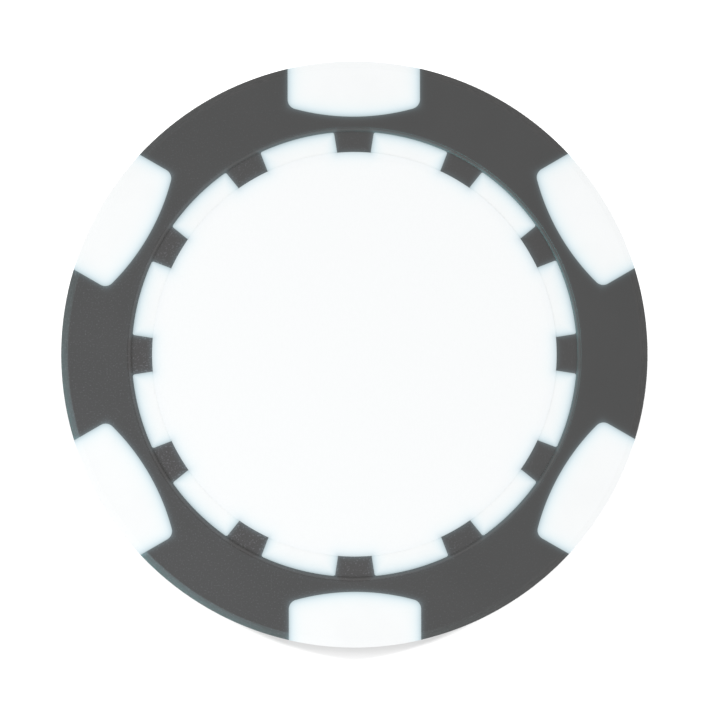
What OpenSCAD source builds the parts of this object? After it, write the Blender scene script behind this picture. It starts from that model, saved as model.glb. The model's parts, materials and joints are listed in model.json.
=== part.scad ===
// Poker chip: a steel slug moulded into a light core, a dark rim moulded round the core,
// and a blank label stuck into the recess of each face.
// Millimetres, +Z up. The origin is the centre of the face that the chip lies on.

/* [Chip] */
// Diameter over the rim
chip_d = 39; // [32:0.1:48]
// Thickness over the two faces
chip_t = 3.3; // [2.8:0.1:4.5]
// Width of the bevel on each outer edge, along the face
bevel_w = 0.45; // [0.1:0.05:0.8]
// Height of the bevel, along the outer wall
bevel_h = 0.3; // [0.1:0.05:0.8]

/* [Label recess] */
// Width of the rim from its outer wall to the recess wall
rim_w = 4.7; // [3.8:0.05:6]
// Depth of the recess floor below the face
recess_depth = 0.2; // [0.16:0.02:0.5]
// Radius of the round on the lip of the recess
lip_r = 0.4; // [0.05:0.05:0.8]

/* [Edge spots] */
// Number of light spots around the rim
spot_n = 6; // [3:1:8]
// Width of a spot between its parallel sides
spot_w = 8.8; // [6.5:0.1:10]
// Width of the dark neck between a spot and the recess
neck_w = 1; // [0.6:0.05:1.6]
// Radius of the bow of a spot's inner edge
spot_bow_r = 15; // [9:0.5:30]
// Radius of a spot's two inner corners
spot_corner_r = 0.65; // [0.2:0.05:1.2]

/* [Recess teeth] */
// Number of dark teeth around each recess
tooth_n = 12; // [6:1:20]
// Width of a tooth at the recess wall
tooth_w = 2.65; // [1.5:0.05:4]
// Angle of a tooth's flank to its mid-line
tooth_flank = 9; // [0:1:15]
// Radius of the fillet between a tooth and the recess wall
tooth_fillet_r = 0.15; // [0.05:0.01:0.4]
// Depth of the teeth below the recess floor
tooth_depth = 0.25; // [0.1:0.05:0.4]
// How far a tooth runs on under the label
tooth_tuck = 0.4; // [0.1:0.05:1.5]

/* [Core] */
// How far the hub of the core runs out under the rim
hub_lap = 0.65; // [0.3:0.05:0.9]
// How far the web that carries a spot stays inside the spot's sides
web_inset = 1.15; // [0.8:0.05:2.5]
// Number of pits that the mould's support pins leave in each face
pit_n = 3; // [0:1:6]
// Diameter of a pit
pit_d = 1.6; // [0.8:0.1:3]

/* [Slug] */
// Wall of plastic round the slug
slug_wall = 0.4; // [0.2:0.05:2]
// Skin of plastic over each flat of the slug
slug_skin = 0.65; // [0.45:0.025:0.8]
// Radius of the round on the slug's stamped edges
slug_edge_r = 0.2; // [0.05:0.05:0.3]
// Number of holes that the core's plastic keys through
key_n = 6; // [3:1:8]
// Diameter of a key hole
key_d = 2.5; // [1:0.1:4]

/* [Label] */
// Bare ring of the recess floor round a label
label_margin = 1.35; // [0.8:0.05:2.5]
// Thickness of the label's white face stock
label_t = 0.06; // [0.05:0.01:0.15]
// Thickness of the adhesive film under a label
adhesive_t = 0.03; // [0.02:0.01:0.05]

/* [Hidden] */
$fn = 128;

// How far a cut runs past the surface that it opens
overrun = 1;
// Place of the ring of key holes and pits, as a share of the slug's radius
key_ring_share = 0.6;

chip_r = chip_d / 2;
recess_r = chip_r - rim_w;
hub_r = recess_r + hub_lap;
label_r = recess_r - label_margin;
slug_r = hub_r - slug_wall;
key_ring_r = slug_r * key_ring_share;

// Levels of the back half, from the face that the chip lies on up to its mid-plane
floor_z = recess_depth;
shoulder_z = floor_z + tooth_depth;
slug_z = floor_z + slug_skin;
// Height and width of the lip's round, which starts no lower than the recess floor
lip_h = min(lip_r, recess_depth);
lip_w = sqrt(pow(lip_r, 2) - pow(lip_r - lip_h, 2));
// Heights between a level and its mirror image in the front half
hub_t = chip_t - 2 * floor_z;
web_t = chip_t - 2 * shoulder_z;
slug_t = chip_t - 2 * slug_z;

// A spot lies on +X: its inner edge starts at spot_x and bows about bow_x
spot_x = recess_r + neck_w;
bow_x = spot_x + spot_bow_r;
// Centre of a spot's inner corner, which touches the bow and one side
corner_y = spot_w / 2 - spot_corner_r;
corner_x = bow_x - sqrt(pow(spot_bow_r - spot_corner_r, 2) - pow(corner_y, 2));
// A spot's web runs from well inside the hub to the middle of the spot
web_w = spot_w - 2 * web_inset;
web_start_x = hub_r - web_w / 2;
web_end_x = (spot_x + chip_r) / 2;

// A tooth lies on +X: from its tip under the label to its root inside the rim
tooth_tip_x = label_r - tooth_tuck;
tooth_root_x = recess_r + hub_lap / 2;
// Where a flank meets the recess wall
flank_y = tooth_w / 2;
flank_x = sqrt(pow(recess_r, 2) - pow(flank_y, 2));
// Centre of a tooth's fillet, which touches the flank and the recess wall
fillet_start = [
  flank_x - tooth_fillet_r * sin(tooth_flank),
  flank_y + tooth_fillet_r * cos(tooth_flank)
];
fillet_run = line_to_circle(fillet_start, tooth_flank, recess_r - tooth_fillet_r);
fillet_c = fillet_start + fillet_run * [cos(tooth_flank), sin(tooth_flank)];

// Signed distance from a point, along a direction, to a circle about the origin that lies ahead
function line_to_circle(start, angle, radius) =
  let (along = start * [cos(angle), sin(angle)])
  sqrt(along * along - start * start + radius * radius) - along;

// Half the width of a tooth at a distance from the axis
function tooth_half(x) = flank_y + (x - flank_x) * tan(tooth_flank);

// Copies of a piece that lies on +X, evenly spaced about the axis
module around(count, turn = 0) {
  for (i = [0 : count - 1]) rotate(turn + i * 360 / count) children();
}

// A piece of the back half, turned over into the front half
module to_front() {
  translate([0, 0, chip_t]) mirror([0, 0, 1]) children();
}

// A piece of the back half and its mirror image in the front half
module on_both_faces() {
  children();
  to_front() children();
}

// What a round takes off a corner at the origin that points to +X +Y
module corner_waste(radius) {
  difference() {
    translate([-radius, -radius]) square(radius + overrun);
    translate([-radius, -radius]) circle(radius);
  }
}

// What two rounds take off the outer corners of a section of this radius and height
module outer_corners_waste(radius, height, round_r) {
  translate([radius, 0]) mirror([0, 1]) corner_waste(round_r);
  translate([radius, height]) corner_waste(round_r);
}

// Section of the chip outside the recess wall, as radius and height
module ring_section() {
  difference() {
    polygon([
      [recess_r, 0], [chip_r - bevel_w, 0], [chip_r, bevel_h],
      [chip_r, chip_t - bevel_h], [chip_r - bevel_w, chip_t], [recess_r, chip_t]
    ]);
    lip_waste();
    translate([0, chip_t]) mirror([0, 1]) lip_waste();
  }
}

// What the lip's round takes off the back half of the section
module lip_waste() {
  difference() {
    translate([recess_r - overrun, -overrun]) square([overrun + lip_w, overrun + lip_h]);
    translate([recess_r + lip_w, lip_r]) circle(lip_r);
  }
}

// Face outline of one spot, run out past the rim
module spot_outline() {
  difference() {
    intersection() {
      translate([0, -spot_w / 2]) square([chip_r + overrun, spot_w]);
      translate([bow_x, 0]) circle(spot_bow_r);
    }
    spot_corner_waste();
    mirror([0, 1]) spot_corner_waste();
  }
}

// What the inner corner takes off a spot outline at +Y
module spot_corner_waste() {
  corner = [corner_x, corner_y];
  to_bow = (corner - [bow_x, 0]) / norm(corner - [bow_x, 0]);
  reach = spot_corner_r + overrun;
  difference() {
    polygon([corner, corner + reach * to_bow, corner + reach * [-1, 1], corner + [0, reach]]);
    translate(corner) circle(spot_corner_r);
  }
}

// All the spots, through the whole chip and past both faces
module spots() {
  around(spot_n, 90)
    translate([0, 0, -overrun]) linear_extrude(chip_t + 2 * overrun) spot_outline();
}

// Webs that carry the spots on the hub, under the necks of the rim
module webs() {
  around(spot_n, 90)
    translate([web_start_x, -web_w / 2, shoulder_z])
      cube([web_end_x - web_start_x, web_w, web_t]);
}

// Face outline of one tooth: out to the centres of its fillets to the recess wall, less their circles
module tooth_outline() {
  foot = fillet_c + tooth_fillet_r * [sin(tooth_flank), -cos(tooth_flank)];
  wall = fillet_c * recess_r / norm(fillet_c);
  side = [
    [tooth_tip_x, tooth_half(tooth_tip_x)], foot, fillet_c, wall, [tooth_root_x, wall[1]]
  ];
  other_side = [for (i = [len(side) - 1 : -1 : 0]) [side[i][0], -side[i][1]]];
  difference() {
    polygon(concat(side, other_side));
    translate(fillet_c) circle(tooth_fillet_r);
    mirror([0, 1]) translate(fillet_c) circle(tooth_fillet_r);
  }
}

// Teeth of the back face, or the pockets that they fill
module teeth(cut = 0) {
  around(tooth_n)
    translate([0, 0, floor_z - cut]) linear_extrude(tooth_depth + cut) tooth_outline();
}

// Dark second shot: the rim with its necks and teeth
module rim_moulding() {
  color("#525354") {
    difference() {
      rotate_extrude() difference() {
        ring_section();
        translate([0, shoulder_z]) square([hub_r, web_t]);
      }
      spots();
      webs();
    }
    on_both_faces() teeth();
  }
}

// Hub of the core, with a shoulder that the rim's necks lap over
module hub() {
  difference() {
    union() {
      translate([0, 0, floor_z]) cylinder(h = hub_t, r = recess_r);
      translate([0, 0, shoulder_z]) cylinder(h = web_t, r = hub_r);
    }
    on_both_faces() teeth(cut = overrun);
  }
}

// Pits that the mould's support pins leave in the back floor, midway between key holes,
// drawn to the mid-plane inside the slug
module pits() {
  for (i = [0 : 1 : pit_n - 1])
    rotate((floor(i * key_n / pit_n) + 1 / 2) * 360 / key_n)
      translate([key_ring_r, 0, floor_z - overrun])
        cylinder(h = hub_t / 2 + overrun, d = pit_d);
}

// Light first shot: the hub round the slug, and the edge spots on their webs
module core_moulding() {
  color("#f4fafb") difference() {
    union() {
      hub();
      webs();
      intersection() {
        rotate_extrude() ring_section();
        spots();
      }
    }
    slug_blank();
    on_both_faces() pits();
  }
}

// The slug with its key holes
module slug_blank() {
  difference() {
    translate([0, 0, slug_z]) rotate_extrude() difference() {
      square([slug_r, slug_t]);
      outer_corners_waste(slug_r, slug_t, slug_edge_r);
    }
    around(key_n) translate([key_ring_r, 0, 0]) cylinder(h = chip_t, d = key_d);
  }
}

// Stamped steel disc that gives the chip its weight
module steel_slug() {
  color("#9a9da0") slug_blank();
}

// White face stock of a label, in the back recess
module label() {
  color("white")
    translate([0, 0, floor_z - adhesive_t - label_t]) cylinder(h = label_t, r = label_r);
}

// Adhesive film that holds a label on the recess floor
module label_adhesive() {
  color("#f3f3ee")
    translate([0, 0, floor_z - adhesive_t]) cylinder(h = adhesive_t, r = label_r);
}

rim_moulding();
core_moulding();
steel_slug();
to_front() label();  // front_label
to_front() label_adhesive();  // front_label_adhesive
label();  // back_label
label_adhesive();  // back_label_adhesive
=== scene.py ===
"""Poker chip: its two mouldings, its labels, their finishes and a plain studio stage, as an add-on."""

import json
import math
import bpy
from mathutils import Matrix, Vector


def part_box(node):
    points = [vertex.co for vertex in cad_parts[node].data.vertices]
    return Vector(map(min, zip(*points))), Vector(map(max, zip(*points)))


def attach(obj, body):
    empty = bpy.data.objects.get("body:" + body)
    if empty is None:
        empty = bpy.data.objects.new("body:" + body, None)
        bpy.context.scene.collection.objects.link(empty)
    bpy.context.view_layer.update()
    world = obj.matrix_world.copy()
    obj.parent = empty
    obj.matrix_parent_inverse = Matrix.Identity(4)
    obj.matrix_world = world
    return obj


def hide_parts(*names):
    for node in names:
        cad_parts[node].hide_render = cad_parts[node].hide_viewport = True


bl_info = {
    "name": "Poker Chip",
    "version": (1, 0, 0),
    "blender": (4, 5, 0),
    "location": "3D View > Sidebar > Poker Chip",
    "description": "Builds a moulded poker chip with edge spots and labels round its packed frame",
    "category": "Add Mesh",
}

import bmesh
import bpy
from bpy.props import FloatProperty, FloatVectorProperty, IntProperty, PointerProperty
from mathutils import Vector

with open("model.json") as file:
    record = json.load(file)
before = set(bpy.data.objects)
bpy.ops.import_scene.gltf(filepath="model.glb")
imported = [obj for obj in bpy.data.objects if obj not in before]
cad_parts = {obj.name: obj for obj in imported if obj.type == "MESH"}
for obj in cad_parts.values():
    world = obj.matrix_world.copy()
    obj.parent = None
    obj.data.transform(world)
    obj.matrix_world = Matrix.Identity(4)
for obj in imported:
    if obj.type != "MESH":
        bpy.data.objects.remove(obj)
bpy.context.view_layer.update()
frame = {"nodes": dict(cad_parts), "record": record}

# One millimetre, in metres
MM = 0.001

# Sizes that the frame already holds, in metres
MOUNTS = {mount["name"]: mount for mount in frame["record"]["mounts"]}
WALL = MOUNTS["rim_wall"]["dims"]
CHIP_RADIUS = WALL["r_mm"] * MM
CHIP_THICKNESS = MOUNTS["front_face"]["pos_m"][2]
BEVEL_HEIGHT = (CHIP_THICKNESS - WALL["length_mm"] * MM) / 2
LABEL_LOW, LABEL_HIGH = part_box("front_label")
FILM_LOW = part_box("front_label_adhesive")[0]
SLUG_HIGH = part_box("steel_slug")[1]

# Names that are used in more than one place
BODY = "root"
RIM_PIECE = "dark_rim"

# Fineness of the meshes, and the gap that keeps the floor off the chip
TURN_STEPS = 288
ARC_STEP = math.radians(6)
ARC_SAG = 0.002 * MM
SHARP_ANGLE = math.radians(30)
FLAT_SHARE = 0.99999
MERGE_DISTANCE = 1e-7
FLOOR_GAP = 1e-7
FULL_TURN = 2 * math.pi

# Parts of a noise's values: what it mostly has, and the peaks that show as painted glints
NOISE_RANGE = (0.3, 0.7)
GLINT_RANGE = (0.56, 0.74)

# Turning marks, and faint blotches in each material, in speck sizes, and the marks' share of the relief
STREAK_RUN, STREAK_WIDTH, STREAK_RELIEF_SHARE = 20, 0.5, 0.5
RIM_CLOUD, CORE_CLOUD, STEEL_CLOUD, FILM_CLOUD = 40, 20, 30, 8

# Scale of a noise along each axis, for the label's fibres and the steel's drawn grain
FIBRE_STRETCH = (1.0, 0.25, 1.0)
DRAWN_STRETCH = (0.03, 1.0, 1.0)

# Part of the recess lip that takes a painted highlight, as shares of its round
LIP_MIDDLE_SHARE, LIP_REACH_SHARE = 0.45, 0.35

# Softboxes: name, azimuth and elevation in degrees, then distance, width and height in metres
NEAR_BOX = ("near_fill", 222, 55, 0.09, 0.06, 0.06)
LOW_BOX = ("low_key", 216, 21.6, 0.0667, 0.09, 0.008)
GRAZING_BOX = ("edge_light", 216, 4.6, 0.12, 0.17, 0.006)
FLOOR_BOXES = (
    ("right_side", 22.3, 50, 0.5, 0.04, 0.04),
    ("left_side", 157.7, 50, 0.5, 0.04, 0.04),
    ("overhead", 90, 78.5, 0.5, 0.06, 0.167),
)


# Settings, each with its name and description in the panel


def a_length(name, description, millimetres):
    """Setting for a length."""
    return FloatProperty(name=name, description=description, default=millimetres * MM, unit="LENGTH")


def an_angle(name, description, degrees):
    """Setting for an angle."""
    default = math.radians(degrees)
    return FloatProperty(name=name, description=description, default=default, subtype="ANGLE")


def a_share(name, description, default):
    """Setting for a share of something else."""
    return FloatProperty(name=name, description=description, default=default, subtype="FACTOR")


def a_number(name, description, default):
    """Setting for a plain number."""
    return FloatProperty(name=name, description=description, default=default)


def a_count(name, description, default):
    """Setting for a whole number."""
    return IntProperty(name=name, description=description, default=default)


def a_colour(name, description, *default):
    """Setting for a colour."""
    return FloatVectorProperty(name=name, description=description, default=default, subtype="COLOR")


def per_channel(name, description, *default, unit="NONE"):
    """Setting with a number each for red, green and blue."""
    return FloatVectorProperty(name=name, description=description, default=default, unit=unit)


class ChipSizes(bpy.types.PropertyGroup):
    """Sizes of the two mouldings and of the labels"""

    bevel_width: a_length("Bevel width", "Width of the bevel on each outer edge, along the face", 0.45)
    bevel_ease: a_length(
        "Bevel ease", "Radius of the rounds that ease the bevel into the face and the wall", 0.08)
    bevel_crown: a_length(
        "Bevel crown", "How far the middle of the bevel stands out from a straight line", 0.025)
    crown_ease: a_length("Crown ease", "Radius of the bevel's crown", 1.8)
    rim_width: a_length("Rim width", "From the outer wall to the recess wall", 4.7)
    lip_round: a_length("Lip round", "Radius of the rounds on the lip of the recess, both together", 0.4)
    lip_step_share: a_share("Lip step share", "Share of that radius that the lip's upper step takes", 0.25)
    parting_width: a_length(
        "Parting line width", "Width of the mould's parting line round the outer wall", 0.1)
    parting_depth: a_length("Parting line depth", "Depth of the mould's parting line", 0.03)
    spot_count: a_count("Edge spots", "Number of light spots round the rim", 6)
    first_spot: an_angle("First spot", "Angle of the first edge spot about the axis", 90)
    spot_width: a_length("Spot width", "Between the parallel sides of a spot", 8.8)
    neck_width: a_length("Neck width", "Dark neck between a spot and the recess", 1)
    bow_radius: a_length("Bow radius", "Radius of the bow of a spot's inner edge", 15)
    corner_round: a_length("Corner round", "Radius of a spot's two inner corners", 0.65)
    tooth_count: a_count("Teeth", "Number of dark teeth round each recess", 12)
    tooth_width: a_length("Tooth width", "Width of a tooth at the recess wall", 2.65)
    tooth_flank: an_angle("Tooth flank", "Angle of a tooth's flank to its mid-line", 9)
    tooth_fillet: a_length("Tooth fillet", "Radius between a tooth and the recess wall", 0.15)
    tooth_depth: a_length("Tooth depth", "Depth of the teeth below the recess floor", 0.25)
    tooth_tuck: a_length("Tooth tuck", "How far a tooth runs on under the label", 0.4)
    hub_lap: a_length("Hub lap", "How far the hub of the core runs out under the rim", 0.65)
    web_inset: a_length("Web inset", "How far a web stays inside the sides of its spot", 1.15)
    pit_count: a_count("Pits", "Number of support-pin pits in each face, under the label", 3)
    pit_diameter: a_length("Pit diameter", "Diameter of a support-pin pit", 1.6)
    first_pit: an_angle("First pit", "Angle of the first pit about the axis", 30)
    pit_ring_share: a_share(
        "Pit ring share", "Place of the ring of pits, as a share of the slug's radius", 0.6)
    label_press: a_length("Label press", "Width of a label's edge that the die presses thin", 0.45)
    label_edge_share: a_share(
        "Label edge share", "Thickness left at a label's edge, as a share of the label's", 0.3)
    label_ease: a_length("Label ease", "Radius that eases the pressed edge into a label's face", 2)


class ChipFinish(bpy.types.PropertyGroup):
    """Colours and surface of the plastics, the label stock, the steel and the adhesive, and the light and
    shade painted into them
    """

    rim_colour: a_colour("Rim", "Dark grey moulded plastic", 0.0689, 0.0636, 0.0631)
    core_colour: a_colour("Core", "Cool white moulded plastic", 0.95, 0.966, 0.97)
    label_colour: a_colour("Label", "White label stock", 0.958, 0.972, 0.976)
    steel_colour: a_colour("Steel", "Rolled steel of the slug", 0.55, 0.56, 0.57)
    adhesive_colour: a_colour("Adhesive", "Adhesive film under a label", 0.9, 0.9, 0.86)
    # Painted shade: the white darker and bluish beside the dark plastic, for the light it lets in and loses
    # there; a share of it shows through the label
    white_loss: per_channel(
        "White loss", "Share of each colour that white loses right beside the dark plastic",
        0.48, 0.4, 0.38)
    white_reach: per_channel(
        "White reach", "How far that loss reaches into the white, for each colour",
        0.28 * MM, 0.19 * MM, 0.15 * MM, unit="LENGTH")
    label_share: a_share("Label share", "Share of that loss that shows through the label", 0.7)
    # Painted shade along a label's edge
    edge_loss: per_channel(
        "Edge loss", "Share of each colour that a label loses along its edge", 0.03, 0.015, 0.004)
    edge_reach: a_length("Edge reach", "How far that loss reaches in from the label's edge", 0.3)
    # Painted light: the dark plastic lighter and bluish right beside the white, as light that spills out of
    # the white
    dark_gain: per_channel(
        "Dark gain", "Share of each colour that dark plastic gains right beside the white", 0.8, 1.25, 1.4)
    dark_reach: a_length("Dark reach", "How far that gain reaches into the dark plastic", 0.13)
    # Size of the grain, and of the dark plastic's painted glints
    speck_size: a_length("Speck size", "Size of the grain and of the dark plastic's specks", 0.11)
    # Painted glints: light specks on the dark plastic, strongest on the side that faces the low light and
    # on the teeth
    speck_gain: per_channel(
        "Speck gain", "Share of each colour that the dark plastic gains in a speck", 0.34, 0.37, 0.42)
    speck_side: an_angle("Speck side", "Angle of the side of the chip where the specks show most", 212)
    tooth_specks: a_number("Tooth specks", "How much stronger the specks are on the teeth", 2.3)
    # Painted light: the teeth lighter than the rim, against the shade that the recess wall casts on them
    tooth_gain: a_share("Tooth gain", "Share by which the teeth are lighter than the rim", 0.05)
    # Painted highlights: the recess lip and the bevel's corner lighter, where they would catch the light
    lip_gain: a_share("Lip gain", "Share by which the rubbed lip of the recess is lighter", 0.25)
    corner_gain: a_share("Corner gain", "Share by which the rubbed corner of the bevel is lighter", 0.08)
    grain_depth: a_length("Grain depth", "Depth of the grain on the moulded faces", 0.004)


class ChipStage(bpy.types.PropertyGroup):
    """Camera, floor and light"""

    pixel_size: a_length("Pixel size", "What one pixel of the picture covers on the chip's face", 0.066487)
    picture_width: a_count("Picture width", "Width and height of the picture in pixels", 709)
    centre_right: a_number("Centre right", "Pixels from the picture's centre right to the chip's", -0.11)
    centre_up: a_number("Centre up", "Pixels from the picture's centre up to the chip's", 0.24)
    picture_turn: an_angle("Picture turn", "Turn of the chip in the picture", 0.13)
    camera_height: a_length("Camera height", "Height of the camera over the floor", 300)
    ambient: a_number("Ambient light", "Light on the chip's face from all round", 0.95)
    fill: a_number("Fill light", "Light on the chip's face from the near softbox", 0.05)
    key: a_number("Low light", "Light on the rim from the low softbox", 0.12)
    edge: a_number("Edge light", "Light on the rim from the grazing softbox", 0.045)
    side: a_number("Floor light", "Light on the floor from each of its softboxes", 0.9)
    cool: a_colour("Cool light", "Colour of the low softbox", 0.8, 0.78, 0.92)
    teal: a_colour("Teal light", "Colour of the grazing softbox", 0.25, 1.0, 0.97)
    floor_grey: a_share("Floor grey", "Share of its light that the pale floor shows", 0.3)
    floor_bounce: a_share("Floor bounce", "Share of its light that the floor throws on the chip", 0.25)
    floor_glow: a_number("Floor glow", "White that the floor adds in the picture", 0.5)
    floor_width: a_length("Floor width", "Width of the floor", 3000)


class Graph:
    """Adds nodes to a node tree and feeds their inputs."""

    def __init__(self, tree):
        self.tree = tree

    def add(self, kind, inputs=None, **settings):
        """A new node with these settings, and with inputs, by name or place, set or linked."""
        node = self.tree.nodes.new(kind)
        for setting, value in settings.items():
            setattr(node, setting, value)
        for place, value in (inputs or {}).items():
            self.feed(node.inputs[place], value)
        return node

    def feed(self, socket, value):
        """Links an input to an output, or to each output of a list, or sets its value."""
        for source in value if isinstance(value, list) else [value]:
            if isinstance(source, bpy.types.NodeSocket):
                self.tree.links.new(source, socket)
            else:
                socket.default_value = source

    def math(self, operation, *values):
        """Output of a Math node."""
        return self.add("ShaderNodeMath", dict(enumerate(values)), operation=operation).outputs[0]

    def vector(self, operation, *values):
        """Outputs of a Vector Math node."""
        return self.add("ShaderNodeVectorMath", dict(enumerate(values)), operation=operation).outputs

    def fade(self, value, start, stop, low=0.0, high=1.0):
        """Output that goes smoothly from low to high as a value goes from start to stop."""
        inputs = {"Value": value, "From Min": start, "From Max": stop, "To Min": low, "To Max": high}
        return self.add("ShaderNodeMapRange", inputs, interpolation_type="SMOOTHSTEP").outputs["Result"]

    def noise(self, place, size, detail=2.0):
        """Output of a noise whose blotches have this size."""
        inputs = {"Vector": place, "Scale": 1 / size, "Detail": detail}
        return self.add("ShaderNodeTexNoise", inputs).outputs["Fac"]

    def spread(self, noise, low, high):
        """Output that goes from low to high over the values that a noise mostly has."""
        return self.fade(noise, *NOISE_RANGE, low, high)


# Outlines, as points on the chip's face, and sections, as radius and height


def arc(centre, radius, start, stop):
    """Points of an arc from one angle to another, both ends included, fine enough for the sag."""
    step = min(ARC_STEP, math.sqrt(8 * ARC_SAG / radius))
    steps = max(2, math.ceil(abs(stop - start) / step))
    angles = [start + (stop - start) * i / steps for i in range(steps + 1)]
    return [(centre[0] + radius * math.cos(a), centre[1] + radius * math.sin(a)) for a in angles]


def eased(before, corner, after, radius):
    """Points of the arc that eases the corner between two straight lines."""
    tip = Vector(corner)
    arms = [(Vector(end) - tip).normalized() for end in (before, after)]
    half = arms[0].angle(arms[1]) / 2
    centre = tip + (arms[0] + arms[1]).normalized() * radius / math.sin(half)
    start, stop = [tip + arm * radius / math.tan(half) - centre for arm in arms]
    angle = math.atan2(start.y, start.x)
    return arc(centre, radius, angle, angle - start.angle_signed(stop))


def mirrored(points):
    """The same points below the X axis, in reverse order."""
    return [(x, -y) for x, y in reversed(points)]


class Layout:
    """Radii, levels, outlines and sections that follow from the driving sizes."""

    def __init__(self, sizes):
        self.sizes = sizes
        self.recess_r = CHIP_RADIUS - sizes.rim_width
        self.hub_r = self.recess_r + sizes.hub_lap
        self.label_r = LABEL_HIGH.x
        self.floor_z = CHIP_THICKNESS - FILM_LOW.z
        self.shoulder_z = self.floor_z + sizes.tooth_depth
        self.overrun = sizes.rim_width / 4
        self.spot_x = self.recess_r + sizes.neck_width
        self.bow_x = self.spot_x + sizes.bow_radius
        self.flank_y = sizes.tooth_width / 2
        self.flank_x = math.sqrt(self.recess_r ** 2 - self.flank_y ** 2)
        self.tooth_tip_x = self.label_r - sizes.tooth_tuck
        self.tooth_root_x = self.recess_r + sizes.hub_lap / 2

    def lip(self):
        """Section of the recess lip at the back face: two rounds with a step between them."""
        sizes = self.sizes
        r, z = self.recess_r, min(sizes.lip_round, self.floor_z)
        slope = math.acos(1 - z / sizes.lip_round)
        points = []
        for share in (1 - sizes.lip_step_share, sizes.lip_step_share):
            radius = sizes.lip_round * share
            r += radius * math.sin(slope)
            z -= radius * (1 - math.cos(slope))
            points = points[:-1] + arc((r, z + radius), radius, -math.pi / 2 - slope, -math.pi / 2)
        return points

    def bevel(self, on_face, on_wall):
        """Section of the bevel at the back face: its crown, and its eases into the face and the wall."""
        sizes = self.sizes
        start = Vector((CHIP_RADIUS - sizes.bevel_width, 0))
        stop = Vector((CHIP_RADIUS, BEVEL_HEIGHT))
        run = stop - start
        crown = start + run / 2 + sizes.bevel_crown * Vector((run.y, -run.x)).normalized()
        points = eased(on_face, start, crown, sizes.bevel_ease)
        points += eased(start, crown, stop, sizes.crown_ease)
        return points + eased(crown, stop, on_wall, sizes.bevel_ease)

    def ring_section(self, with_shoulder):
        """Section of the chip outside the recess wall, with or without the room for the hub."""
        sizes, lip = self.sizes, self.lip()
        wall_end = (CHIP_RADIUS, (CHIP_THICKNESS - sizes.parting_width) / 2)
        lower = lip + self.bevel(lip[-1], wall_end) + [wall_end]
        parting = [(CHIP_RADIUS - sizes.parting_depth, CHIP_THICKNESS / 2)]
        section = lower + parting + [(r, CHIP_THICKNESS - z) for r, z in reversed(lower)]
        if with_shoulder:
            low, high = self.shoulders()
            section += [(self.recess_r, high), (self.hub_r, high), (self.hub_r, low), (self.recess_r, low)]
        return section

    def hub_section(self):
        """Section of the core's hub, with the shoulder that the rim laps over."""
        low, step = self.floor_z, self.shoulder_z
        lower = [(0, low), (self.recess_r, low), (self.recess_r, step), (self.hub_r, step)]
        return lower + [(r, CHIP_THICKNESS - z) for r, z in reversed(lower)]

    def label_section(self):
        """Section of the front label, with the edge that the die presses thin."""
        sizes, low, high = self.sizes, LABEL_LOW.z, LABEL_HIGH.z
        edge = (self.label_r, low + (high - low) * sizes.label_edge_share)
        slope = eased(edge, (self.label_r - sizes.label_press, high), (0, high), sizes.label_ease)
        return [(0, low), (self.label_r, low), edge] + slope + [(0, high)]

    def spot_outline(self):
        """One spot on +X, run out past the rim."""
        sizes = self.sizes
        corner_y = sizes.spot_width / 2 - sizes.corner_round
        corner_x = self.bow_x - math.sqrt((sizes.bow_radius - sizes.corner_round) ** 2 - corner_y ** 2)
        turn = math.atan2(corner_y, corner_x - self.bow_x)
        upper = [(CHIP_RADIUS + self.overrun, sizes.spot_width / 2)]
        upper += arc((corner_x, corner_y), sizes.corner_round, math.pi / 2, turn)
        bow = arc((self.bow_x, 0), sizes.bow_radius, turn, FULL_TURN - turn)
        return upper + bow[1:-1] + mirrored(upper)

    def tooth_outline(self):
        """One tooth on +X, with the fillets between its flanks and the recess wall."""
        flank, fillet = self.sizes.tooth_flank, self.sizes.tooth_fillet
        along = Vector((math.cos(flank), math.sin(flank)))
        start = Vector((self.flank_x, self.flank_y)) + fillet * Vector((-along.y, along.x))
        ahead = start.dot(along)
        reach = self.recess_r - fillet
        centre = start + along * (math.sqrt(ahead ** 2 - start.length_squared + reach ** 2) - ahead)
        tip_half = self.flank_y + (self.tooth_tip_x - self.flank_x) * math.tan(flank)
        upper = [(self.tooth_tip_x, tip_half)]
        upper += arc(centre, fillet, flank - math.pi / 2, math.atan2(centre.y, centre.x))
        upper += [(self.tooth_root_x, upper[-1][1])]
        return upper + mirrored(upper)

    def shoulders(self):
        """Heights of the hub's two shoulders."""
        return self.shoulder_z, CHIP_THICKNESS - self.shoulder_z

    def web_outline(self):
        """The web on +X that carries a spot, from inside the hub to the middle of the spot."""
        half = self.sizes.spot_width / 2 - self.sizes.web_inset
        near, far = self.hub_r - half, (self.spot_x + CHIP_RADIUS) / 2
        return [(near, -half), (far, -half), (far, half), (near, half)]

    def pit_outline(self):
        """One support-pin pit on +X."""
        ring_r = SLUG_HIGH.x * self.sizes.pit_ring_share
        return arc((ring_r, 0), self.sizes.pit_diameter / 2, 0, FULL_TURN)[:-1]


# Meshes


def new_object(name, bm):
    """Object at the origin with what a bmesh holds, its doubles merged and its faces outwards."""
    bmesh.ops.remove_doubles(bm, verts=bm.verts, dist=MERGE_DISTANCE)
    bmesh.ops.recalc_face_normals(bm, faces=bm.faces)
    mesh = bpy.data.meshes.new(name)
    bm.to_mesh(mesh)
    bm.free()
    piece = bpy.data.objects.new(name, mesh)
    bpy.context.scene.collection.objects.link(piece)
    return piece


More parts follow.
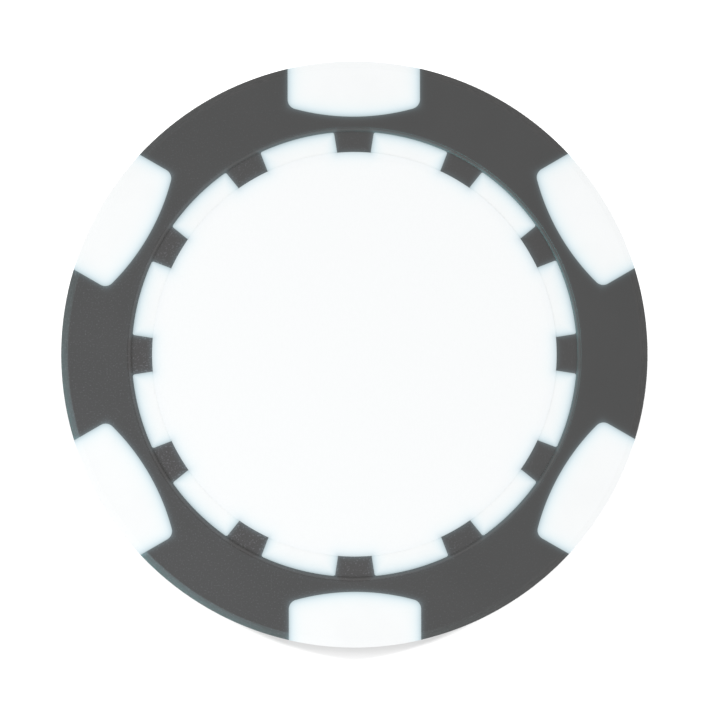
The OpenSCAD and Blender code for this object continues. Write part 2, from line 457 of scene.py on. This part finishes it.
def turned(name, section):
    """Object of a section turned once round the axis. A section that starts on the axis ends there."""
    bm = bmesh.new()
    points = [bm.verts.new((r, 0, z)) for r, z in section]
    pairs = list(zip(points, points[1:]))
    if section[0][0] > 0:
        pairs.append((points[-1], points[0]))
    edges = [bm.edges.new(pair) for pair in pairs]
    bmesh.ops.spin(
        bm, geom=points + edges, cent=(0, 0, 0), axis=(0, 0, 1), angle=FULL_TURN,
        steps=TURN_STEPS, use_merge=True)
    return new_object(name, bm)


def prism(name, outline, low, high):
    """Object of an outline raised from one height to another."""
    bm = bmesh.new()
    base = bm.faces.new([bm.verts.new((x, y, low)) for x, y in outline])
    raised = bmesh.ops.extrude_face_region(bm, geom=[base], use_keep_orig=True)["geom"]
    tops = [part for part in raised if isinstance(part, bmesh.types.BMVert)]
    bmesh.ops.translate(bm, verts=tops, vec=(0, 0, high - low))
    return new_object(name, bm)


def spot_patterns(layout):
    """Patterns of an edge spot, run out past both faces, and of the web that carries it."""
    spot = prism("spot_pattern", layout.spot_outline(), -layout.overrun, CHIP_THICKNESS + layout.overrun)
    return spot, prism("web_pattern", layout.web_outline(), *layout.shoulders())


def merged_copy(name, node):
    """Object with a closed copy of a frame node's loose triangles."""
    bm = bmesh.new()
    bm.from_mesh(frame["nodes"][node].data)
    return new_object(name, bm)


def turn_over(piece):
    """Turns a piece of the front half over into the back half."""
    for vertex in piece.data.vertices:
        vertex.co = (-vertex.co.x, vertex.co.y, CHIP_THICKNESS - vertex.co.z)


def discard(patterns):
    """Removes objects that only served to shape a piece."""
    for pattern in patterns:
        mesh = pattern.data
        bpy.data.objects.remove(pattern)
        bpy.data.meshes.remove(mesh)


def settle(piece):
    """Turns what a piece's modifiers make of it into its own plain mesh."""
    depsgraph = bpy.context.evaluated_depsgraph_get()
    evaluated = piece.evaluated_get(depsgraph)
    made = bpy.data.meshes.new_from_object(evaluated, preserve_all_data_layers=True, depsgraph=depsgraph)
    piece.modifiers.clear()
    old = piece.data
    piece.data = made
    bpy.data.meshes.remove(old)
    made.name = piece.name


def smooth(piece):
    """Shades a piece smooth across its rounds and flat on its flats."""
    bm = bmesh.new()
    bm.from_mesh(piece.data)
    for face in bm.faces:
        face.smooth = True
    for edge in bm.edges:
        kinds = {abs(face.normal.z) > FLAT_SHARE for face in edge.link_faces}
        edge.smooth = len(kinds) == 1 and edge.calc_face_angle() < SHARP_ANGLE
    bm.to_mesh(piece.data)
    bm.free()
    weighted = piece.modifiers.new("weighted_normals", "WEIGHTED_NORMAL")
    weighted.keep_sharp = True
    settle(piece)


# Geometry Nodes trees


GEOMETRY = "NodeSocketGeometry"
OBJECT = "NodeSocketObject"
MATERIAL = "NodeSocketMaterial"
COUNT = "NodeSocketInt"
NUMBER = "NodeSocketFloat"


def start_tree(name, sockets):
    """Graph of a new geometry tree with these named inputs, and the inputs themselves."""
    tree = bpy.data.node_groups.new(name, "GeometryNodeTree")
    for socket, kind in {"Geometry": GEOMETRY, **sockets}.items():
        tree.interface.new_socket(socket, in_out="INPUT", socket_type=kind)
    tree.interface.new_socket("Geometry", in_out="OUTPUT", socket_type=GEOMETRY)
    graph = Graph(tree)
    return graph, graph.add("NodeGroupInput").outputs


def end_tree(graph, geometry, material=None):
    """Ends a tree in real geometry, with its material where one is given, and returns the tree."""
    made = graph.add("GeometryNodeRealizeInstances", {"Geometry": geometry}).outputs[0]
    if material is not None:
        inputs = {"Geometry": made, "Material": material}
        made = graph.add("GeometryNodeSetMaterial", inputs).outputs[0]
    graph.add("NodeGroupOutput", {"Geometry": made})
    return graph.tree


def around_axis_tree():
    """Tree that repeats what lies on +X, evenly spaced about the axis."""
    graph, given = start_tree("around_axis", {"Count": COUNT, "First Angle": NUMBER})
    points = graph.add("GeometryNodePoints", {"Count": given["Count"]}).outputs[0]
    index = graph.add("GeometryNodeInputIndex").outputs[0]
    step = graph.math("DIVIDE", FULL_TURN, given["Count"])
    angle = graph.math("MULTIPLY_ADD", index, step, given["First Angle"])
    euler = graph.add("ShaderNodeCombineXYZ", {"Z": angle}).outputs[0]
    turn = graph.add("FunctionNodeEulerToRotation", {0: euler}).outputs[0]
    inputs = {"Points": points, "Instance": given["Geometry"], "Rotation": turn}
    return end_tree(graph, graph.add("GeometryNodeInstanceOnPoints", inputs).outputs[0])


def both_faces_tree():
    """Tree that adds, to what lies in the back half, a copy turned over into the front half."""
    graph, given = start_tree("both_faces", {"Thickness": NUMBER})
    lift = graph.add("ShaderNodeCombineXYZ", {"Z": given["Thickness"]}).outputs[0]
    inputs = {"Geometry": given["Geometry"], "Translation": lift, "Rotation": (0, math.pi, 0)}
    front = graph.add("GeometryNodeTransform", inputs).outputs[0]
    both = [given["Geometry"], front]
    return end_tree(graph, graph.add("GeometryNodeJoinGeometry", {"Geometry": both}).outputs[0])


def shared_tree(make):
    """A tree that several pieces use, made when the first of them asks for it."""
    return bpy.data.node_groups.get(make.__name__.removesuffix("_tree")) or make()


def repeated(graph, pattern, count, first_angle):
    """Copies of a pattern object about the axis."""
    shape = graph.add("GeometryNodeObjectInfo", {"Object": pattern}).outputs["Geometry"]
    inputs = {"Geometry": shape, "Count": count, "First Angle": first_angle}
    return graph.add("GeometryNodeGroup", inputs, node_tree=shared_tree(around_axis_tree)).outputs[0]


def on_both_faces(graph, geometry, thickness):
    """A shape of the back half and its copy in the front half."""
    inputs = {"Geometry": geometry, "Thickness": thickness}
    return graph.add("GeometryNodeGroup", inputs, node_tree=shared_tree(both_faces_tree)).outputs[0]


def boolean(graph, operation, shapes, base=None):
    """Shapes joined or intersected, or taken off a base."""
    inputs = {"Mesh 2": shapes}
    if base is not None:
        inputs["Mesh 1"] = base
    settings = {"operation": operation, "solver": "MANIFOLD"}
    return graph.add("GeometryNodeMeshBoolean", inputs, **settings).outputs["Mesh"]


def rim_tree():
    """Tree that opens the turned rim for its spots and webs, and adds its teeth."""
    graph, given = start_tree("dark_rim", {
        "Spot": OBJECT, "Web": OBJECT, "Tooth": OBJECT, "Spots": COUNT, "First Spot": NUMBER,
        "Teeth": COUNT, "Thickness": NUMBER, "Material": MATERIAL,
    })
    spots = repeated(graph, given["Spot"], given["Spots"], given["First Spot"])
    webs = repeated(graph, given["Web"], given["Spots"], given["First Spot"])
    opened = boolean(graph, "DIFFERENCE", [spots, webs], given["Geometry"])
    teeth = repeated(graph, given["Tooth"], given["Teeth"], 0.0)
    both = on_both_faces(graph, teeth, given["Thickness"])
    return end_tree(graph, boolean(graph, "UNION", [opened, both]), given["Material"])


def core_tree():
    """Tree that joins the hub, the webs and the spots, and leaves room for the teeth and the slug."""
    graph, given = start_tree("white_core", {
        "Ring": OBJECT, "Spot": OBJECT, "Web": OBJECT, "Tooth": OBJECT, "Slug": OBJECT, "Pit": OBJECT,
        "Spots": COUNT, "First Spot": NUMBER, "Teeth": COUNT, "Pits": COUNT, "First Pit": NUMBER,
        "Thickness": NUMBER, "Material": MATERIAL,
    })
    ring = graph.add("GeometryNodeObjectInfo", {"Object": given["Ring"]}).outputs["Geometry"]
    slug = graph.add("GeometryNodeObjectInfo", {"Object": given["Slug"]}).outputs["Geometry"]
    columns = repeated(graph, given["Spot"], given["Spots"], given["First Spot"])
    spots = boolean(graph, "INTERSECT", [ring, columns])
    webs = repeated(graph, given["Web"], given["Spots"], given["First Spot"])
    teeth = repeated(graph, given["Tooth"], given["Teeth"], 0.0)
    pockets = on_both_faces(graph, teeth, given["Thickness"])
    hub = boolean(graph, "DIFFERENCE", [pockets], given["Geometry"])
    whole = boolean(graph, "UNION", [hub, webs, spots])
    pits = repeated(graph, given["Pit"], given["Pits"], given["First Pit"])
    hollows = [slug, on_both_faces(graph, pits, given["Thickness"])]
    return end_tree(graph, boolean(graph, "DIFFERENCE", hollows, whole), given["Material"])


def grow(piece, tree, inputs):
    """Runs a tree on a piece, with these named inputs, and keeps what it makes as a plain mesh."""
    modifier = piece.modifiers.new(tree.name, "NODES")
    modifier.node_group = tree
    for item in tree.interface.items_tree:
        if item.in_out == "INPUT" and item.name in inputs:
            modifier[item.identifier] = inputs[item.name]
    settle(piece)


# Materials


def new_material(name):
    """A new material, the graph of its nodes, its Principled shader and the place on the object."""
    material = bpy.data.materials.new(name)
    material.use_nodes = True
    graph = Graph(material.node_tree)
    shader = next(node for node in material.node_tree.nodes if node.type == "BSDF_PRINCIPLED")
    place = graph.add("ShaderNodeTexCoord").outputs["Object"]
    return material, graph, shader, place


def beside_nearest(graph, radius, angle, count, first_angle):
    """A place as x and unsigned y beside the nearest of the marks spaced evenly about the axis."""
    half = math.pi / count
    near = graph.math("WRAP", graph.math("SUBTRACT", angle, first_angle), half, -half)
    x = graph.math("MULTIPLY", radius, graph.math("COSINE", near))
    y = graph.math("MULTIPLY", radius, graph.math("SINE", near))
    return x, graph.math("ABSOLUTE", y)


def seam_tree():
    """Shader tree that says how far a place on the chip's face lies from the seams of its two shots."""
    layout = Layout(bpy.context.scene.chip_sizes)
    sizes = layout.sizes
    tree = bpy.data.node_groups.new("seam", "ShaderNodeTree")
    for socket in ("Radius", "Angle", "In Spot", "Off Tooth", "In Floor"):
        tree.interface.new_socket(socket, in_out="OUTPUT", socket_type=NUMBER)
    graph = Graph(tree)
    place = graph.add("ShaderNodeTexCoord").outputs["Object"]
    flat = graph.vector("MULTIPLY", place, (1, 1, 0))[0]
    radius = graph.vector("LENGTH", flat)["Value"]
    axes = graph.add("ShaderNodeSeparateXYZ", {0: flat}).outputs
    angle = graph.math("ARCTAN2", axes["Y"], axes["X"])

    x, y = beside_nearest(graph, radius, angle, sizes.spot_count, sizes.first_spot)
    from_bow = graph.add("ShaderNodeCombineXYZ", {"X": graph.math("SUBTRACT", x, layout.bow_x), "Y": y})
    in_bow = graph.math("SUBTRACT", sizes.bow_radius, graph.vector("LENGTH", from_bow.outputs[0])["Value"])
    in_sides = graph.math("SUBTRACT", sizes.spot_width / 2, y)
    in_spot = graph.math("SMOOTH_MIN", in_bow, in_sides, sizes.corner_round)

    x, y = beside_nearest(graph, radius, angle, sizes.tooth_count, 0.0)
    past_root = graph.math("SUBTRACT", x, layout.flank_x)
    half = graph.math("MULTIPLY_ADD", past_root, math.tan(sizes.tooth_flank), layout.flank_y)
    off_tooth = graph.math("MULTIPLY", graph.math("SUBTRACT", y, half), math.cos(sizes.tooth_flank))
    off_wall = graph.math("SUBTRACT", layout.recess_r, radius)
    in_floor = graph.math("SMOOTH_MIN", off_tooth, off_wall, sizes.tooth_fillet)

    graph.add("NodeGroupOutput", {
        "Radius": radius, "Angle": angle, "In Spot": in_spot, "Off Tooth": off_tooth, "In Floor": in_floor,
    })
    return tree


def add_seam(graph):
    """Outputs of the seam tree within a material."""
    return graph.add("ShaderNodeGroup", node_tree=shared_tree(seam_tree)).outputs


def decay(graph, distance, reach):
    """Output that falls from one, at no distance, over a reach."""
    return graph.math("EXPONENT", graph.math("DIVIDE", graph.math("MAXIMUM", distance, 0.0), -reach))


def tinted(graph, colour, distance, reaches, gains):
    """A colour whose channels gain or lose a share each beside a seam: painted light where they gain,
    painted shade where they lose.
    """
    shares = {}
    for channel, (reach, gain) in enumerate(zip(reaches, gains)):
        shares[channel] = graph.math("MULTIPLY_ADD", decay(graph, distance, reach), gain, 1.0)
    return graph.vector("MULTIPLY", colour, graph.add("ShaderNodeCombineXYZ", shares).outputs[0])[0]


def shaded(graph, colour, factor):
    """A colour made lighter or darker by a factor."""
    return graph.vector("SCALE", colour, (0, 0, 0), (0, 0, 0), factor)[0]


def emboss(graph, shader, height, strength):
    """Gives a surface the fine relief of a height."""
    depth = bpy.context.scene.chip_finish.grain_depth
    bump = graph.add("ShaderNodeBump", {"Height": height, "Distance": depth, "Strength": strength})
    graph.feed(shader.inputs["Normal"], bump.outputs[0])


def rim_wear(graph, layout, finish, seam, streaks):
    """Share by which the rim is lighter: scuffs along its bevel, and painted highlights at the bevel's
    corner and on the recess lip.
    """
    sizes = layout.sizes
    off_corner = graph.math("SUBTRACT", seam["Radius"], CHIP_RADIUS - sizes.bevel_width)
    on_bevel = graph.fade(off_corner, 0.0, sizes.bevel_ease)
    scuffs = graph.math("MULTIPLY", on_bevel, graph.spread(streaks, low=-0.06, high=0.18))
    off_corner = graph.math("ABSOLUTE", off_corner)
    corner = graph.fade(off_corner, 0.0, sizes.bevel_ease, low=finish.corner_gain, high=0.0)
    lip_middle = layout.recess_r + sizes.lip_round * LIP_MIDDLE_SHARE
    off_lip = graph.math("ABSOLUTE", graph.math("SUBTRACT", seam["Radius"], lip_middle))
    lip = graph.fade(off_lip, 0.0, sizes.lip_round * LIP_REACH_SHARE, low=finish.lip_gain, high=0.0)
    return graph.math("ADD", graph.math("ADD", corner, lip), scuffs)


def rim_specks(graph, layout, finish, place, on_tooth):
    """How strong the rim's painted glints are: most on the side of the chip that faces the low light, and
    on the teeth.
    """
    dots = graph.fade(graph.noise(place, finish.speck_size, detail=1.0), *GLINT_RANGE)
    side = (math.cos(finish.speck_side), math.sin(finish.speck_side), 0)
    towards = graph.vector("DOT_PRODUCT", place, side)["Value"]
    nearer = graph.fade(towards, -layout.recess_r, layout.recess_r, low=0.4)
    shown = graph.math("POWER", nearer, 2.0)
    coarse = graph.math("MULTIPLY_ADD", on_tooth, finish.tooth_specks - 1.0, 1.0)
    return graph.math("MULTIPLY", graph.math("MULTIPLY", dots, shown), coarse)


def grey_plastic():
    """Satin dark plastic of the rim: fine grain, faint turning marks, scuffs on the bevel, painted glints,
    painted highlights on the bevel's corner and the recess lip, and painted light beside the white.
    """
    layout, finish = Layout(bpy.context.scene.chip_sizes), bpy.context.scene.chip_finish
    material, graph, shader, place = new_material("satin_grey_plastic")
    seam = add_seam(graph)

    off_floor = graph.math("MULTIPLY", seam["In Floor"], -1.0)
    off_spot = graph.math("MULTIPLY", seam["In Spot"], -1.0)
    off_label = graph.math("SUBTRACT", seam["Radius"], layout.label_r)
    off_white = graph.math("MINIMUM", graph.math("MINIMUM", off_floor, off_spot), off_label)
    # Painted light: the dark plastic lighter and bluish right beside the white
    reaches = [finish.dark_reach] * len(finish.dark_gain)
    colour = tinted(graph, tuple(finish.rim_colour), off_white, reaches, finish.dark_gain)

    around = graph.math("MULTIPLY", seam["Angle"], finish.speck_size * STREAK_RUN)
    height = graph.add("ShaderNodeSeparateXYZ", {0: place}).outputs["Z"]
    turning = graph.add("ShaderNodeCombineXYZ", {"X": around, "Y": seam["Radius"], "Z": height})
    streaks = graph.noise(turning.outputs[0], finish.speck_size * STREAK_WIDTH)
    cloud = graph.spread(graph.noise(place, finish.speck_size * RIM_CLOUD), low=0.98, high=1.02)
    fade_start = layout.recess_r - finish.speck_size
    on_tooth = graph.fade(seam["Radius"], fade_start, layout.recess_r, low=1.0, high=0.0)
    # Painted light: the teeth a share lighter than the rim
    lighter = graph.math("MULTIPLY_ADD", on_tooth, finish.tooth_gain, cloud)
    # Scuffs along the bevel, and painted highlights on its corner and the recess lip
    factor = graph.math("ADD", lighter, rim_wear(graph, layout, finish, seam, streaks))
    # Painted glints: light specks, strongest on the side that faces the low light
    glint_strength = rim_specks(graph, layout, finish, place, on_tooth)
    factors = [graph.math("MULTIPLY_ADD", glint_strength, gain, factor) for gain in finish.speck_gain]
    glinted = graph.add("ShaderNodeCombineXYZ", dict(enumerate(factors))).outputs[0]
    graph.feed(shader.inputs["Base Color"], graph.vector("MULTIPLY", colour, glinted)[0])

    grain = graph.noise(place, finish.speck_size, detail=3.0)
    relief = graph.math("MULTIPLY_ADD", streaks, STREAK_RELIEF_SHARE, grain)
    emboss(graph, shader, relief, strength=1.0)
    graph.feed(shader.inputs["Roughness"], graph.spread(grain, low=0.38, high=0.46))
    shader.inputs["Specular IOR Level"].default_value = 0.25
    shader.inputs["Specular Tint"].default_value = (0.75, 1.0, 1.0, 1.0)
    return material


def white_plastic():
    """Cool white plastic of the core, with a bluish painted shade beside the dark plastic."""
    layout, finish = Layout(bpy.context.scene.chip_sizes), bpy.context.scene.chip_finish
    material, graph, shader, place = new_material("cool_white_plastic")
    seam = add_seam(graph)

    on_rim = graph.math("GREATER_THAN", seam["Radius"], layout.recess_r)
    spot_part = graph.math("MULTIPLY", on_rim, seam["In Spot"])
    floor_part = graph.math("MULTIPLY", graph.math("SUBTRACT", 1.0, on_rim), seam["In Floor"])
    depth = graph.math("ADD", spot_part, floor_part)
    # Painted shade: the white darker and bluish beside the dark plastic and the recess wall
    painted_losses = [-loss for loss in finish.white_loss]
    colour = tinted(graph, tuple(finish.core_colour), depth, finish.white_reach, painted_losses)
    cloud = graph.spread(graph.noise(place, finish.speck_size * CORE_CLOUD), low=0.985, high=1.0)
    graph.feed(shader.inputs["Base Color"], shaded(graph, colour, cloud))

    grain = graph.noise(place, finish.speck_size, detail=3.0)
    emboss(graph, shader, grain, strength=0.6)
    graph.feed(shader.inputs["Roughness"], graph.spread(grain, low=0.38, high=0.48))
    shader.inputs["Specular IOR Level"].default_value = 0.3
    return material


def label_stock():
    """Matte white label stock with fine fibres, with painted shade where the ends of the teeth show through
    it and along its edge.
    """
    layout, finish = Layout(bpy.context.scene.chip_sizes), bpy.context.scene.chip_finish
    material, graph, shader, place = new_material("white_label_stock")
    seam = add_seam(graph)

    from_edge = graph.math("SUBTRACT", layout.label_r, seam["Radius"])
    beside = graph.math("MAXIMUM", seam["Off Tooth"], 0.0)
    from_tooth = graph.add("ShaderNodeCombineXYZ", {"X": from_edge, "Y": beside}).outputs[0]
    depth = graph.vector("LENGTH", from_tooth)["Value"]
    # Painted shade over the ends of the teeth under the label: a share of the white's
    painted_losses = [-loss * finish.label_share for loss in finish.white_loss]
    colour = tinted(graph, tuple(finish.label_colour), depth, finish.white_reach, painted_losses)
    # Painted shade along the label's edge
    reaches = [finish.edge_reach] * len(finish.edge_loss)
    colour = tinted(graph, colour, from_edge, reaches, [-loss for loss in finish.edge_loss])
    along = graph.vector("MULTIPLY", place, FIBRE_STRETCH)[0]
    fibres = graph.noise(along, finish.speck_size, detail=4.0)
    paper = graph.spread(fibres, low=0.992, high=1.0)
    graph.feed(shader.inputs["Base Color"], shaded(graph, colour, paper))

    emboss(graph, shader, fibres, strength=0.4)
    graph.feed(shader.inputs["Roughness"], graph.spread(fibres, low=0.55, high=0.65))
    shader.inputs["Specular IOR Level"].default_value = 0.25
    return material


def rolled_steel():
    """Bare rolled steel of the slug: drawn grain, and a duller blotch here and there."""
    finish = bpy.context.scene.chip_finish
    material, graph, shader, place = new_material("rolled_steel")
    along = graph.vector("MULTIPLY", place, DRAWN_STRETCH)[0]
    drawn = graph.noise(along, finish.speck_size, detail=3.0)
    cloud = graph.spread(graph.noise(place, finish.speck_size * STEEL_CLOUD), low=0.9, high=1.0)
    factor = graph.math("ADD", graph.spread(drawn, low=-0.08, high=0.08), cloud)
    colour = graph.add("ShaderNodeCombineColor", dict(enumerate(finish.steel_colour))).outputs[0]
    graph.feed(shader.inputs["Base Color"], shaded(graph, colour, factor))
    emboss(graph, shader, drawn, strength=0.5)
    graph.feed(shader.inputs["Roughness"], graph.spread(drawn, low=0.28, high=0.45))
    shader.inputs["Metallic"].default_value = 1.0
    return material


def adhesive_film():
    """Clear adhesive over white plastic, slightly uneven where it was pressed down."""
    finish = bpy.context.scene.chip_finish
    material, graph, shader, place = new_material("adhesive_film")
    pressed = graph.noise(place, finish.speck_size * FILM_CLOUD, detail=3.0)
    factor = graph.spread(pressed, low=0.92, high=1.04)
    colour = graph.add("ShaderNodeCombineColor", dict(enumerate(finish.adhesive_colour))).outputs[0]
    graph.feed(shader.inputs["Base Color"], shaded(graph, colour, factor))
    emboss(graph, shader, pressed, strength=0.5)
    graph.feed(shader.inputs["Roughness"], graph.spread(pressed, low=0.25, high=0.4))
    return material


def dress(node, material):
    """Gives a frame node that stays in sight its material."""
    piece = frame["nodes"][node]
    piece.data.materials.clear()
    piece.data.materials.append(material)


def place_piece(piece, node):
    """Lets a finished piece stand for a frame node."""
    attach(piece, BODY)
    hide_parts(node)


# Stage


def seen_directly(graph):
    """Output that is one for camera, mirror and glass rays, and zero for other light."""
    path = graph.add("ShaderNodeLightPath").outputs
    seen = graph.math("ADD", path["Is Camera Ray"], path["Is Glossy Ray"])
    return graph.math("MINIMUM", graph.math("ADD", seen, path["Is Transmission Ray"]), 1.0)


def pale_floor():
    """Pale floor that takes a shadow, and is white in the picture where none falls."""
    stage = bpy.context.scene.chip_stage
    material = bpy.data.materials.new("pale_floor")
    material.use_nodes = True
    material.node_tree.nodes.clear()
    graph = Graph(material.node_tree)
    seen = seen_directly(graph)
    grey = graph.math("MULTIPLY_ADD", seen, stage.floor_grey - stage.floor_bounce, stage.floor_bounce)
    paper = graph.add("ShaderNodeBsdfDiffuse", {"Color": grey}).outputs[0]
    strength = graph.math("MULTIPLY", seen, stage.floor_glow)
    glow = graph.add("ShaderNodeEmission", {"Strength": strength}).outputs[0]
    both = graph.add("ShaderNodeAddShader", {0: paper, 1: glow}).outputs[0]
    graph.add("ShaderNodeOutputMaterial", {"Surface": both})
    return material


def studio_world():
    """Even light from all round, white where it is seen directly."""
    stage = bpy.context.scene.chip_stage
    world = bpy.data.worlds.new("studio")
    world.use_nodes = True
    world.node_tree.nodes.clear()
    graph = Graph(world.node_tree)
    strength = graph.math("MULTIPLY_ADD", seen_directly(graph), 1.0 - stage.ambient, stage.ambient)
    background = graph.add("ShaderNodeBackground", {"Color": (1, 1, 1, 1), "Strength": strength}).outputs[0]
    graph.add("ShaderNodeOutputWorld", {"Surface": background})
    return world


def softbox(name, azimuth, elevation, distance, width, height, light, colour=(1, 1, 1)):
    """Area light that faces the chip's middle and gives its upper face this much light."""
    around, up = math.radians(azimuth), math.radians(elevation)
    data = bpy.data.lights.new(name, "AREA")
    data.shape = "RECTANGLE"
    data.size, data.size_y = width, height
    data.color = colour
    data.energy = light * 4 * math.pi * distance ** 2 / math.sin(up)
    box = bpy.data.objects.new(name, data)
    bpy.context.scene.collection.objects.link(box)
    level = distance * math.cos(up)
    place = Vector((level * math.cos(around), level * math.sin(around), distance * math.sin(up)))
    box.location = place
    box.rotation_euler = (-place).to_track_quat("-Z", "Y").to_euler()
    box.visible_camera = False
    return box


class CHIP_OT_rim(bpy.types.Operator):
    """Build the dark rim, opened for its spots and with a ring of teeth on each face"""

    bl_idname = "chip.rim"
    bl_label = "Dark Rim"

    def execute(self, context):
        layout = Layout(context.scene.chip_sizes)
        sizes = layout.sizes
        rim = turned(RIM_PIECE, layout.ring_section(with_shoulder=True))
        spot, web = spot_patterns(layout)
        tooth = prism("tooth_pattern", layout.tooth_outline(), layout.floor_z, layout.shoulder_z)
        grow(rim, rim_tree(), {
            "Spot": spot, "Web": web, "Tooth": tooth, "Spots": sizes.spot_count,
            "First Spot": sizes.first_spot, "Teeth": sizes.tooth_count, "Thickness": CHIP_THICKNESS,
            "Material": grey_plastic(),
        })
        discard([spot, web, tooth])
        smooth(rim)
        place_piece(rim, "rim_moulding")
        return {"FINISHED"}


class CHIP_OT_core(bpy.types.Operator):
    """Build the white core: the hub round the slug, and the edge spots on their webs"""

    bl_idname = "chip.core"
    bl_label = "White Core"

    def execute(self, context):
        layout = Layout(context.scene.chip_sizes)
        sizes = layout.sizes
        core = turned("white_core", layout.hub_section())
        ring = turned("ring_pattern", layout.ring_section(with_shoulder=False))
        spot, web = spot_patterns(layout)
        tooth = prism("tooth_pattern", layout.tooth_outline(), -layout.overrun, layout.shoulder_z)
        slug = merged_copy("slug_pattern", "steel_slug")
        pit = prism("pit_pattern", layout.pit_outline(), -layout.overrun, CHIP_THICKNESS / 2)
        grow(core, core_tree(), {
            "Ring": ring, "Spot": spot, "Web": web, "Tooth": tooth, "Slug": slug, "Pit": pit,
            "Spots": sizes.spot_count, "First Spot": sizes.first_spot, "Teeth": sizes.tooth_count,
            "Pits": sizes.pit_count, "First Pit": sizes.first_pit, "Thickness": CHIP_THICKNESS,
            "Material": white_plastic(),
        })
        discard([ring, spot, web, tooth, slug, pit])
        smooth(core)
        place_piece(core, "core_moulding")
        return {"FINISHED"}


class CHIP_OT_labels(bpy.types.Operator):
    """Build the blank label of each face"""

    bl_idname = "chip.labels"
    bl_label = "Labels"

    def execute(self, context):
        layout = Layout(context.scene.chip_sizes)
        stock = label_stock()
        for face in ("front", "back"):
            label = turned(f"{face}_label_disc", layout.label_section())
            if face == "back":
                turn_over(label)
            label.data.materials.append(stock)
            smooth(label)
            place_piece(label, f"{face}_label")
        return {"FINISHED"}


class CHIP_OT_inner(bpy.types.Operator):
    """Finish the steel slug and the adhesive films, which keep their shapes from the frame"""

    bl_idname = "chip.inner"
    bl_label = "Slug and Adhesive"

    def execute(self, context):
        dress("steel_slug", rolled_steel())
        film = adhesive_film()
        for face in ("front", "back"):
            dress(f"{face}_label_adhesive", film)
        return {"FINISHED"}


class CHIP_OT_stage(bpy.types.Operator):
    """Set up the floor, the light and the camera"""

    bl_idname = "chip.stage"
    bl_label = "Stage"

    def execute(self, context):
        scene, stage = context.scene, context.scene.chip_stage
        scene.view_settings.view_transform = "Standard"
        scene.world = studio_world()
        self.light(stage, self.floor(stage))
        self.camera(scene, stage)
        return {"FINISHED"}

    def floor(self, stage):
        """Pale floor just under the chip."""
        half = stage.floor_width / 2
        bm = bmesh.new()
        corners = ((-half, -half), (half, -half), (half, half), (-half, half))
        bm.faces.new([bm.verts.new((x, y, -FLOOR_GAP)) for x, y in corners])
        floor = new_object("floor", bm)
        floor.data.materials.append(pale_floor())
        return floor

    def light(self, stage, floor):
        """A near softbox for the chip, two low ones for its rim, and three for the floor."""
        rim = bpy.data.objects[RIM_PIECE]
        softbox(*NEAR_BOX, stage.fill)
        self.shine_only_on(softbox(*LOW_BOX, stage.key, stage.cool), rim)
        self.shine_only_on(softbox(*GRAZING_BOX, stage.edge, stage.teal), rim)
        for box in FLOOR_BOXES:
            self.shine_only_on(softbox(*box, stage.side), floor)

    def shine_only_on(self, box, target):
        """Keeps a softbox's light to one object."""
        only = bpy.data.collections.new(f"{box.name}_target")
        only.objects.link(target)
        box.light_linking.receiver_collection = only

    def camera(self, scene, stage):
        """Camera straight over the chip's face, without perspective."""
        data = bpy.data.cameras.new("camera")
        data.type = "ORTHO"
        data.ortho_scale = stage.picture_width * stage.pixel_size
        camera = bpy.data.objects.new("camera", data)
        scene.collection.objects.link(camera)
        right, up = -stage.centre_right * stage.pixel_size, -stage.centre_up * stage.pixel_size
        camera.location = (right, up, stage.camera_height)
        camera.rotation_euler.z = -stage.picture_turn
        scene.camera = camera


class CHIP_PT_sidebar(bpy.types.Panel):
    """Sizes, finishes, stage and the steps that build the chip"""

    bl_idname = "CHIP_PT_sidebar"
    bl_label = "Poker Chip"
    bl_space_type = "VIEW_3D"
    bl_region_type = "UI"
    bl_category = "Poker Chip"

    def draw(self, context):
        for step in STEPS:
            self.layout.operator(step.bl_idname)
        for group in GROUPS:
            box = self.layout.box()
            box.label(text=group)
            settings = getattr(context.scene, group)
            for name in GROUPS[group].__annotations__:
                box.prop(settings, name)


GROUPS = {"chip_sizes": ChipSizes, "chip_finish": ChipFinish, "chip_stage": ChipStage}
STEPS = (CHIP_OT_rim, CHIP_OT_core, CHIP_OT_labels, CHIP_OT_inner, CHIP_OT_stage)


def register():
    """Registers the settings, the steps and the panel."""
    for group in GROUPS.values():
        bpy.utils.register_class(group)
    for name, group in GROUPS.items():
        setattr(bpy.types.Scene, name, PointerProperty(type=group))
    for step in STEPS:
        bpy.utils.register_class(step)
    bpy.utils.register_class(CHIP_PT_sidebar)


def unregister():
    """Takes back what register did."""
    bpy.utils.unregister_class(CHIP_PT_sidebar)
    for step in reversed(STEPS):
        bpy.utils.unregister_class(step)
    for name, group in reversed(GROUPS.items()):
        delattr(bpy.types.Scene, name)
        bpy.utils.unregister_class(group)


def main():
    """Builds the chip and its stage."""
    register()
    bpy.ops.chip.rim()
    bpy.ops.chip.core()
    bpy.ops.chip.labels()
    bpy.ops.chip.inner()
    bpy.ops.chip.stage()


if __name__ == "__main__":
    main()
